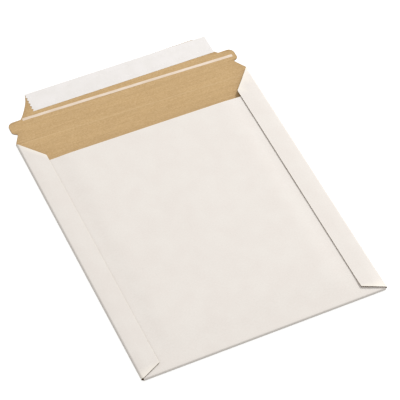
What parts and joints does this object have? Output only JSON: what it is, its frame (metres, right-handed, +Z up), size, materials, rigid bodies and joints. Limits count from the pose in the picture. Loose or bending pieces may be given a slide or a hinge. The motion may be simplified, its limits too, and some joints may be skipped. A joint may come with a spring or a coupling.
{
  "type": "rigid photo mailer",
  "caption": "Flat rigid paperboard mailer with a photo pocket, rolled side folds and an open closing flap with tear tape and a lined adhesive strip.",
  "frame": {"origin": "middle of the outline, flap laid open, on the surface that the mailer lies on", "axes": "+Y from the bottom fold towards the tip of the closing flap, +X to the right of the front, +Z up out of the front panel"},
  "size_m": [0.3264, 0.4562, 0.006],
  "materials": {
    "white_board": "smooth clay-coated white outside, uncoated kraft inside",
    "kraft_board": "uncoated kraft inner face, clay-coated white outer face",
    "tear_film": "glossy pale film tape",
    "contact_adhesive": "tacky hot-melt film",
    "liner_paper": "smooth silicone-coated paper",
    "seam_glue": "dried glue film"
  },
  "bodies": {
    "pocket": {"pocket_board": "white_board", "left_seam_glue": "seam_glue", "right_seam_glue": "seam_glue"},
    "flap": {"closing_flap": "kraft_board", "tear_tape": "tear_film", "adhesive_strip": "contact_adhesive", "release_liner": "liner_paper"}
  },
  "joints": [
    {"name": "flap_fold", "type": "hinge", "parent": "pocket", "child": "flap", "pos_m": [-0.001, 0.15722, 0.0037], "axis": [1, 0, 0], "range_deg": [0, 180]}
  ]
}
